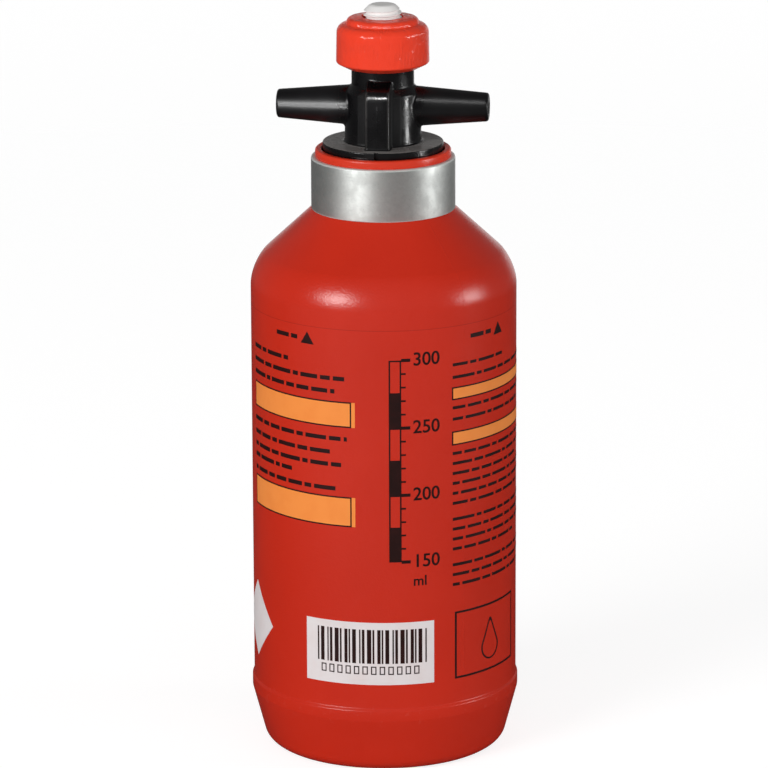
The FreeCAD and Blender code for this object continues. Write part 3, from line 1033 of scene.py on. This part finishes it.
@dataclass
class Print:
    """Plain marks on the wall, in millimetres.

    They are bands, rows of dashes, a content scale, a striped panel, a diamond and a framed drop. Each row
    has its lower edge and its right end. A box has its left, lower, right and upper edges.
    """

    radius: float = WALL_RADIUS
    line: float = 0.35
    colour_lift: float = 0.020
    dark_lift: float = 0.032
    left_edge: float = -38.2
    left_end: float = -4.3
    right_edge: float = 21.0
    right_end: float = 55.0
    overprint: float = 0.9
    band_overlap: float = 0.1
    band_start: float = 0.2
    left_bands: tuple[Point, ...] = ((87.9, 94.1), (63.1, 70.4))
    right_bands: tuple[Point, ...] = ((93.8, 96.8), (82.5, 85.8))
    left_rows: tuple[Point, ...] = (
        (102.6, -22.0), (99.3, -6.0), (96.1, -8.5),
        (84.4, -5.4), (81.0, -9.8), (77.9, -6.6), (75.2, -21.0), (71.9, -8.4),
    )
    right_rows: tuple[Point, ...] = (
        (102.1, 40.0), (99.0, 55.0), (91.4, 55.0), (88.6, 50.0),
        (80.0, 55.0), (77.5, 55.0), (75.0, 48.0), (72.5, 55.0), (70.0, 55.0), (67.5, 51.0),
        (63.5, 55.0), (61.0, 55.0), (58.5, 55.0), (56.0, 46.0),
        (52.0, 55.0), (49.5, 55.0), (47.0, 53.0),
    )
    left_shift: int = 2
    right_shift: int = 4
    dash_rhythm: tuple[float, ...] = (4.4, 2.0, 5.8, 3.0, 6.6, 1.6, 4.9, 2.6, 3.7)
    dash_gap: float = 0.8
    left_dash: float = 1.05
    right_dash: float = 0.75
    scale_left: float = 4.8
    scale_bar: float = 3.0
    scale_low: int = 150
    scale_high: int = 300
    scale_step: int = 10
    scale_numbered: int = 50
    long_tick: Point = (2.2, 0.40)
    short_tick: Point = (1.1, 0.22)
    numeral_size: float = 4.6
    numeral_gap: float = 2.8
    unit_size: float = 3.6
    unit_drop: float = 5.0
    level_of_none: float = 4.06  # where the scale's straight part would reach zero
    level_per_ml: float = 0.33555
    panel: Box = (-16.6, 23.3, 15.9, 39.1)
    stripes: Box = (-13.4, 28.7, 14.0, 37.3)
    stripe_rhythm: tuple[float, ...] = (0.40, 0.95, 0.35, 0.65, 1.05, 0.45, 0.80)
    stripe_shift: int = 3
    stripe_gap: float = 0.75
    blocks: Box = (-12.4, 25.9, 12.9, 28.0)
    block_count: int = 12
    block_width: float = 1.35
    block_line: float = 0.28
    diamond_middle: Point = (-38.2, 33.5)
    diamond_reach: Point = (9.2, 9.7)
    notice: Box = (21.6, 23.3, 45.2, 40.4)
    notice_line: float = 0.525
    drop_level: float = 0.36
    drop_radius: float = 3.4
    drop_tip: float = 1.15
    drop_waist: float = 0.45
    drop_inner: Point = (0.86, 0.88)
    drop_facets: int = 40
    triangles: tuple[float, ...] = (-15.9, 36.5)
    triangle_top: float = 110.6
    triangle_width: float = 3.8
    triangle_height: float = 3.0
    level_row: float = 10.2
    level_row_rise: float = 0.8

    def level(self, content: float) -> float:
        """Height of the surface for a content in millilitres."""
        return self.level_of_none + self.level_per_ml * content

    def draw_scale(self, dark: Sheet) -> None:
        """Draws the content scale: a bar of full and open blocks, ticks and numerals.

        Args:
            dark: Print it goes on.
        """
        left, right = self.scale_left, self.scale_left + self.scale_bar
        half_way = self.scale_numbered // 2
        for low in range(self.scale_low, self.scale_high, half_way):
            foot, head = self.level(low), self.level(low + half_way)
            if low % self.scale_numbered:
                dark.border(left, foot, right, head, self.line)
            else:
                dark.bar(left, foot, right, head)
        for content in range(self.scale_low, self.scale_high + 1, self.scale_step):
            numbered = content % self.scale_numbered == 0
            reach, half = self.long_tick if numbered else self.short_tick
            middle = self.level(content)
            dark.bar(right, middle - half, right + reach, middle + half)
            if numbered:
                dark.words(str(content), self.numeral_size, right + self.numeral_gap, middle)
        foot = self.level(self.scale_low) - self.unit_drop
        dark.words("ml", self.unit_size, right + self.numeral_gap, foot)

    def draw_row(self, dark: Sheet, left: float, right: float, low: float, high: float, start: int) -> None:
        """Draws a row of plain dashes of mixed length.

        Args:
            dark: Print it goes on.
            left: Left end.
            right: Right end.
            low: Lower edge of the dashes.
            high: Upper edge of the dashes.
            start: Place in the rhythm of lengths where the row starts.
        """
        place, index = left, start
        while place < right - self.dash_gap:
            length = self.dash_rhythm[index % len(self.dash_rhythm)]
            dark.bar(place, low, min(place + length, right), high)
            place += length + self.dash_gap
            index += 1

    def draw_levels(self, dark: Sheet) -> None:
        """Draws the level marks: triangles, each with a short row of dashes.

        Args:
            dark: Print they go on.
        """
        half, low = self.triangle_width / 2, self.triangle_top - self.triangle_height
        foot = low + self.level_row_rise
        for middle in self.triangles:
            dark.patch([(middle - half, low), (middle + half, low), (middle, self.triangle_top)])
            left, right = middle - self.level_row, middle - half - self.dash_gap
            self.draw_row(dark, left, right, foot, foot + self.left_dash, 0)

    def draw_drop(self, dark: Sheet) -> None:
        """Draws a plain drop in outline, and the frame round it.

        Args:
            dark: Print it goes on.
        """
        dark.border(*self.notice, self.notice_line)
        left, low, right, high = self.notice
        shape, size = dark.shape, self.drop_radius
        ring = bmesh.ops.create_circle(shape, cap_ends=False, radius=size, segments=self.drop_facets)["verts"]
        top = max(ring, key=lambda vert: vert.co.y)
        for vert in ring:
            rise = max(0.0, vert.co.y / size)
            vert.co.y += size * self.drop_tip * rise**3
            vert.co.x *= 1 - self.drop_waist * rise**2
        top.co.x = 0.0
        edges = list({edge for vert in ring for edge in vert.link_edges})
        copy = bmesh.ops.extrude_edge_only(shape, edges=edges)["geom"]
        inner = [item for item in copy if isinstance(item, bmesh.types.BMVert)]
        bmesh.ops.scale(shape, verts=inner, vec=(*self.drop_inner, 1.0))
        place = ((left + right) / 2, low + self.drop_level * (high - low), 0.0)
        bmesh.ops.translate(shape, verts=ring + inner, vec=place)

    def draw_stripes(self, dark: Sheet) -> None:
        """Draws the panel's stripes, a rhythm that stands for nothing, and the open blocks below them.

        Args:
            dark: Print they go on.
        """
        left, low, right, high = self.stripes
        rhythm = self.stripe_rhythm
        place, index = left, 0
        while place < right:
            width = rhythm[index % len(rhythm)]
            gap = rhythm[(index + self.stripe_shift) % len(rhythm)] * self.stripe_gap
            dark.bar(place, low, min(place + width, right), high)
            place += width + gap
            index += 1
        left, low, right, high = self.blocks
        pitch = (right - left) / self.block_count
        for place in (left + pitch * index for index in range(self.block_count)):
            dark.border(place, low, place + self.block_width, high, self.block_line)

    def draw_bands(self, orange: Sheet, dark: Sheet) -> None:
        """Draws the bands with their borders, and the rows of dashes between them.

        Args:
            orange: Print that the bands go on.
            dark: Print that borders and rows go on.
        """
        for low, high in self.left_bands:
            foot, head = low - self.band_overlap, high + self.band_overlap
            orange.bar(self.left_edge, low, self.left_end + self.overprint, high)
            dark.border(self.left_edge, foot, self.left_end, head, self.line)
        for low, high in self.right_bands:
            foot, head = low - self.band_overlap, high + self.band_overlap
            orange.bar(self.right_edge, low, self.right_end, high)
            dark.border(self.right_edge - self.band_start, foot, self.right_end, head, self.line)
        for index, (low, right) in enumerate(self.left_rows):
            self.draw_row(dark, self.left_edge, right, low, low + self.left_dash, self.left_shift * index)
        for index, (low, right) in enumerate(self.right_rows):
            self.draw_row(dark, self.right_edge, right, low, low + self.right_dash, self.right_shift * index)

    def build(self) -> None:
        """Makes the three films of ink."""
        orange, white, dark = Sheet(self.colour_lift), Sheet(self.colour_lift), Sheet(self.dark_lift)
        self.draw_bands(orange, dark)
        self.draw_levels(dark)
        self.draw_scale(dark)
        white.bar(*self.panel)
        self.draw_stripes(dark)
        (across, up), (wide, tall) = self.diamond_middle, self.diamond_reach
        white.patch([(across, up - tall), (across + wide, up), (across, up + tall), (across - wide, up)])
        self.draw_drop(dark)
        for name, sheet, finish in (
            ("print_orange", orange, ORANGE_INK),
            ("print_white", white, WHITE_INK),
            ("print_dark", dark, DARK_INK),
        ):
            Workshop.piece(name, sheet.wrapped(self.radius), finish, Body.BOTTLE, Slot.BOTTLE)


@dataclass
class Collar:
    """Metal ring round the neck, in millimetres."""

    inner: float = 16.35
    low_rounding: float = 0.22
    high_rounding: float = 0.45
    inner_rounding: float = 0.1
    lathe: Lathe = Lathe(160, 1.6)

    def build(self) -> None:
        """Makes the ring."""
        corners = [
            Corner(self.inner, NECK_LEVEL),
            Corner(COLLAR_RADIUS, NECK_LEVEL, self.low_rounding, segments=4),
            Corner(COLLAR_RADIUS, LIP_LEVEL, self.high_rounding, segments=6),
            Corner(self.inner, LIP_LEVEL, self.inner_rounding, segments=2),
        ]
        ring = self.lathe.turn(corners)
        Workshop.piece("collar_ring", ring, COLLAR_METAL, Body.BOTTLE, Slot.COLLAR, ["neck_collar"])


@dataclass
class Thumb:
    """Round thumb screw, in millimetres."""

    radius: float = 11.3
    draft: float = 0.15
    low: float = 169.82
    high: float = 182.25
    bore: float = 7.95
    rim: float = 0.8
    rim_slope: float = 1.3
    rim_rounding: float = 0.15
    side_rounding: float = 0.6
    ceiling: float = 176.0
    shoulder_rise: float = 0.6
    shoulder_rounding: float = 1.9
    step_radius: float = 8.8
    step_height: float = 1.6
    step_draft: float = 0.2
    step_fall: float = 0.3
    step_crease: float = 0.25
    step_rounding: float = 1.0
    hole: float = 4.86
    hole_chamfer: float = 0.3
    lathe: Lathe = Lathe(160, 0.8)

    def build(self) -> None:
        """Makes the thumb screw."""
        step_foot = self.high - self.step_height
        side, step_side = self.radius - self.draft, self.step_radius - self.step_draft
        corners = [
            Corner(self.bore, self.low, self.rim_rounding, segments=2),
            Corner(self.bore + self.rim, self.low, self.rim_rounding, segments=2),
            Corner(self.radius, self.low + self.rim_slope, self.side_rounding, segments=6),
            Corner(side, step_foot - self.shoulder_rise, self.shoulder_rounding, segments=10),
            Corner(self.step_radius, step_foot, self.step_crease, segments=4),
            Corner(step_side, self.high - self.step_fall, self.step_rounding, segments=8),
            Corner(self.hole + self.hole_chamfer, self.high),
            Corner(self.hole, self.high - self.hole_chamfer),
            Corner(self.hole, self.ceiling),
            Corner(self.bore, self.ceiling),
        ]
        knob = self.lathe.turn(corners)
        Workshop.piece("thumb_knob", knob, THUMB_RED, Body.THUMB, Slot.THUMB, ["thumb_screw"])


@dataclass
class Spring:
    """Return spring inside the valve, in millimetres."""

    coil_radius: float = 5.25
    wire: float = 1.1
    foot: float = 133.25
    length: float = 12.9
    turns: float = 5.0
    press: float = 2.0
    wire_facets: int = 14
    lathe: Lathe = Lathe(48)

    def build(self) -> None:
        """Makes the coil."""
        half = self.wire / 2
        angles = [math.tau * facet / self.wire_facets for facet in range(self.wire_facets)]
        middle = self.foot + half
        section = [
            (self.coil_radius + half * math.cos(angle), middle + half * math.sin(angle)) for angle in angles
        ]
        rise = (self.length - self.wire) / self.turns
        coil = self.lathe.screw(section, rise, self.turns)
        thing = Workshop.piece("spring_coil", coil, SPRING, Body.VALVE, Slot.SPRING, ["return_spring"])
        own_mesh(thing)


@dataclass
class Valve:
    """Screw-in valve: its CAD nodes with finishes, and the parting lines of its mould, in millimetres."""

    fin_reach: float = 12.8
    fin_low: float = 152.6
    fin_high: float = 162.4
    flash_width: float = 0.22
    flash_depth: float = 0.24
    flash_rise: float = 0.06
    flash_rounding: float = 0.048
    finishes: dict[str, Finish] = field(
        default_factory=lambda: {
            "valve_body": VALVE_BLACK,
            "valve_stem": STEM_WHITE,
            "thumb_washer": WASHER_WHITE,
            "spring_cage": CAGE_GREY,
            "neck_gasket": RUBBER,
            "stem_o_ring": RUBBER,
            "poppet_seal": RUBBER,
        }
    )

    def build(self) -> None:
        """Dresses the nodes and makes the parting lines on the fins."""
        for node, finish in self.finishes.items():
            Workshop.dress_node(node, finish)
        shape = bmesh.new()
        tall, middle = self.fin_high - self.fin_low, (self.fin_low + self.fin_high) / 2
        for side in (-1, 1):
            made = bmesh.ops.create_cube(shape, size=1.0)["verts"]
            bmesh.ops.scale(shape, verts=made, vec=(self.flash_width, self.flash_depth, tall))
            along = side * (self.fin_reach - self.flash_rise)
            bmesh.ops.translate(shape, verts=made, vec=(0.0, along, middle))
        bmesh.ops.bevel(
            shape,
            geom=shape.edges[:],
            offset=self.flash_rounding,
            offset_type="OFFSET",
            segments=2,
            profile=0.5,
            affect="EDGES",
            material=-1,
        )
        bmesh.ops.scale(shape, verts=shape.verts, vec=(MM, MM, MM))
        Workshop.piece("valve_parting_line", shape, VALVE_BLACK, Body.VALVE, Slot.VALVE)


# Studio


def direction(azimuth: float, elevation: float) -> Vector:
    """Unit vector outwards, in degrees from the front towards +X and degrees above the floor."""
    turn, rise = math.radians(azimuth), math.radians(elevation)
    return Vector((math.sin(turn) * math.cos(rise), -math.cos(turn) * math.cos(rise), math.sin(rise)))


@dataclass(frozen=True)
class Stand:
    """Place on a sphere round a point, for what faces that point."""

    name: str
    azimuth: float
    elevation: float

    def carry(self, data: bpy.types.ID, aim: Vector, distance: float, roll: float = 0.0) -> bpy.types.Object:
        """Adds a lamp or camera that faces its aim.

        Args:
            data: Lamp or camera.
            aim: Point that it faces, in metres.
            distance: Distance from that point.
            roll: Degrees that it is turned about its view.

        Returns:
            The object.
        """
        holder = bpy.data.objects.new(self.name, data)
        back = direction(self.azimuth, self.elevation)
        holder.location = aim + back * distance
        holder.rotation_mode = "QUATERNION"
        turn = Quaternion((0, 0, 1), math.radians(roll))
        holder.rotation_quaternion = (-back).to_track_quat("-Z", "Y") @ turn
        bpy.context.scene.collection.objects.link(holder)
        return holder


@dataclass(frozen=True)
class Softbox(Stand):
    """Oval area lamp, in metres and watts."""

    wide: float
    tall: float
    power: float
    distance: float = 1.9

    def build(self, target: Vector) -> None:
        """Places the lamp.

        Args:
            target: Point that it faces.
        """
        lamp = bpy.data.lights.new(self.name, "AREA")
        lamp.shape = "ELLIPSE"
        lamp.size = self.wide
        lamp.size_y = self.tall
        lamp.energy = self.power
        self.carry(lamp, target, self.distance)


@dataclass(frozen=True)
class Snoot(Stand):
    """Narrow lamp that lights one small place of the valve, whose aim is in millimetres."""

    aim: Triple
    distance: float
    cone: float
    power: float
    size: float = 0.004
    softness: float = 0.6

    def build(self) -> None:
        """Places the lamp."""
        lamp = bpy.data.lights.new(self.name, "SPOT")
        lamp.energy = self.power
        lamp.spot_size = math.radians(self.cone)
        lamp.spot_blend = self.softness
        lamp.shadow_soft_size = self.size
        self.carry(lamp, Vector(self.aim) * MM, self.distance)


@dataclass
class Studio:
    """Floor, world, lamps and camera, in metres."""

    camera: Stand = Stand("camera", azimuth=6.5, elevation=14.83)
    distance: float = 1.3
    target: Vector = field(default_factory=lambda: Vector((0.0, 0.0, 0.09041)))
    focal_pixels: float = 5291.0
    image_pixels: float = 768.0
    sensor: float = 36.0
    sight: float = 50.0
    roll: float = -0.22
    floor_radius: float = 1.2
    floor_facets: int = 96
    floor_sink: float = 0.0002
    floor_fade: Point = (0.35, 1.1)
    floor_seen: Point = (0.25, 0.55)
    floor_flank: float = 1.7
    floor_front: Point = (-0.25, 0.0)
    floor_glow: float = 0.83
    floor_matt: float = 0.36
    floor_mirrored: Point = (0.08, 0.42)
    floor_bounce: Colour = (0.70, 0.70, 0.70)
    ambient: float = 0.24
    ambient_above: float = 0.05
    ambient_rise: Point = (0.05, 0.85)
    front: Point = (14.0, 20.0)
    front_level: float = 0.62
    front_spread: Point = (0.30, 1.0)
    back_level: float = 0.45
    back_spread: Point = (0.40, 1.0)
    backdrop: Point = (0.90, 0.98)
    backdrop_rise: Point = (0.0, 0.12)
    room_level: float = 0.12
    lamps: tuple[Softbox, ...] = (
        Softbox("softbox_left", -35.5, 18.5, 0.86, 0.62, 20.0),
        Softbox("softbox_right", 87.0, 8.0, 0.68, 0.62, 10.0),
    )
    snoots: tuple[Snoot, ...] = (
        Snoot("snoot_spout_low", -12.0, -6.0, (-18.5, -3.0, 160.0), 0.9, 1.45, 17.0),
        Snoot("snoot_spout_high", -12.0, 12.0, (-18.5, -3.0, 160.5), 0.9, 1.45, 17.0),
        Snoot("snoot_spout_right", 12.0, 45.0, (18.5, -3.0, 161.0), 0.9, 1.45, 6.5),
        Snoot("snoot_fin", -9.0, 31.0, (0.0, -12.8, 163.0), 0.45, 1.2, 7.0),
        Snoot("snoot_hub", 84.0, -9.0, (7.0, -6.0, 156.0), 0.7, 1.7, 2.8),
    )

    @staticmethod
    def rays(bench: Bench) -> tuple[Tone, Tone]:
        """Adds light path masks.

        Args:
            bench: Tree that they go into.

        Returns:
            One for rays from the camera, and one for rays in reflections or glass.
        """
        camera = bench.add("ShaderNodeLightPath", {}, {}, "Is Camera Ray")
        mirrored = camera.sibling("Is Glossy Ray").math("MAXIMUM", camera.sibling("Is Transmission Ray"))
        return camera, mirrored

    def floor_finish(self) -> bpy.types.Material:
        """Makes the floor's material, which shines for the camera, keeps the shadow and fades out.

        Returns:
            The material.
        """
        material = bpy.data.materials.new("pale_floor")
        material.use_nodes = True
        bench = Bench(material.node_tree)
        place = bench.add("ShaderNodeTexCoord", {}, {}, "Object")
        across = bench.add("ShaderNodeSeparateXYZ", {}, {0: place}, "X")
        along = across.sibling("Y")
        reach = bench.add("ShaderNodeVectorMath", {"operation": "LENGTH"}, {0: place}, "Value")
        camera, mirrored = self.rays(bench)
        behind = (along - across.size() * self.floor_flank).step(*self.floor_seen)
        strength = camera.math("MAXIMUM", mirrored * behind) * self.floor_glow
        glow = bench.add("ShaderNodeEmission", {}, {"Color": WHITE, "Strength": strength})
        dim, clear_front = self.floor_mirrored
        front = 1 - along.step(*self.floor_front)
        tone = camera * self.floor_matt + (1 - camera) * (dim + front * (clear_front - dim))
        matt = bench.add("ShaderNodeBsdfDiffuse", {}, {"Color": tone})
        bounce = bench.add("ShaderNodeBsdfDiffuse", {}, {"Color": (*self.floor_bounce, 1.0)})
        shown = bench.add("ShaderNodeAddShader", {}, {0: glow, 1: matt})
        seen = camera.math("MAXIMUM", mirrored)
        solid = bench.add("ShaderNodeMixShader", {}, {0: seen, 1: bounce, 2: shown})
        clear = bench.add("ShaderNodeBsdfTransparent")
        faded = bench.add("ShaderNodeMixShader", {}, {0: reach.step(*self.floor_fade), 1: solid, 2: clear})
        bench.add("ShaderNodeOutputMaterial", {}, {0: faded})
        return material

    def build_floor(self) -> None:
        """Makes the pale floor."""
        shape = bmesh.new()
        bmesh.ops.create_circle(shape, cap_ends=True, radius=self.floor_radius, segments=self.floor_facets)
        bmesh.ops.translate(shape, verts=shape.verts, vec=(0, 0, -self.floor_sink))
        mesh = bpy.data.meshes.new("floor")
        shape.to_mesh(mesh)
        shape.free()
        mesh.materials.append(self.floor_finish())
        floor = bpy.data.objects.new("floor", mesh)
        bpy.context.scene.collection.objects.link(floor)

    def build_world(self) -> None:
        """Makes a white surround, which reflections see as a backdrop behind the bottle in a dimmer room."""
        world = bpy.data.worlds.new("studio")
        world.use_nodes = True
        bpy.context.scene.world = world
        bench = Bench(world.node_tree)
        outwards = bench.add("ShaderNodeTexCoord", {}, {}, "Generated")
        along = bench.add("ShaderNodeSeparateXYZ", {}, {0: outwards}, "Y")
        rise = along.sibling("Z")
        camera, mirrored = self.rays(bench)
        behind = along.step(*self.backdrop) * (1 - rise.step(*self.backdrop_rise))
        room = behind * (1 - self.room_level) + self.room_level
        towards = {0: outwards, 1: direction(*self.front)}
        front = bench.add("ShaderNodeVectorMath", {"operation": "DOT_PRODUCT"}, towards, "Value")
        soft = self.ambient - rise.step(*self.ambient_rise) * (self.ambient - self.ambient_above)
        soft = soft + front.step(*self.front_spread) * self.front_level
        soft = soft + along.step(*self.back_spread) * self.back_level
        strength = camera + mirrored * room + (1 - camera - mirrored) * soft
        light = bench.add("ShaderNodeBackground", {}, {"Color": WHITE, "Strength": strength})
        bench.add("ShaderNodeOutputWorld", {}, {0: light})

    def build_camera(self) -> None:
        """Places the camera at the photograph's angle."""
        data = bpy.data.cameras.new("camera")
        data.sensor_width = self.sensor
        data.lens = self.focal_pixels / self.image_pixels * self.sensor
        data.clip_end = self.sight
        bpy.context.scene.camera = self.camera.carry(data, self.target, self.distance, self.roll)

    def build(self) -> None:
        """Sets up the whole studio."""
        bpy.context.scene.view_settings.view_transform = "Standard"
        self.build_floor()
        self.build_world()
        for lamp in self.lamps:
            lamp.build(self.target)
        for snoot in self.snoots:
            snoot.build()
        self.build_camera()
        LOG.info("studio: %d lamps", len(self.lamps) + len(self.snoots))


def main() -> None:
    """Builds the studio and the bottle's sub-assemblies in order."""
    logging.basicConfig(level=logging.INFO, format="%(name)s: %(message)s")
    Studio().build()
    for part in (Bottle(), Print(), Collar(), Valve(), Spring(), Thumb()):
        part.build()


if __name__ == "__main__":
    main()
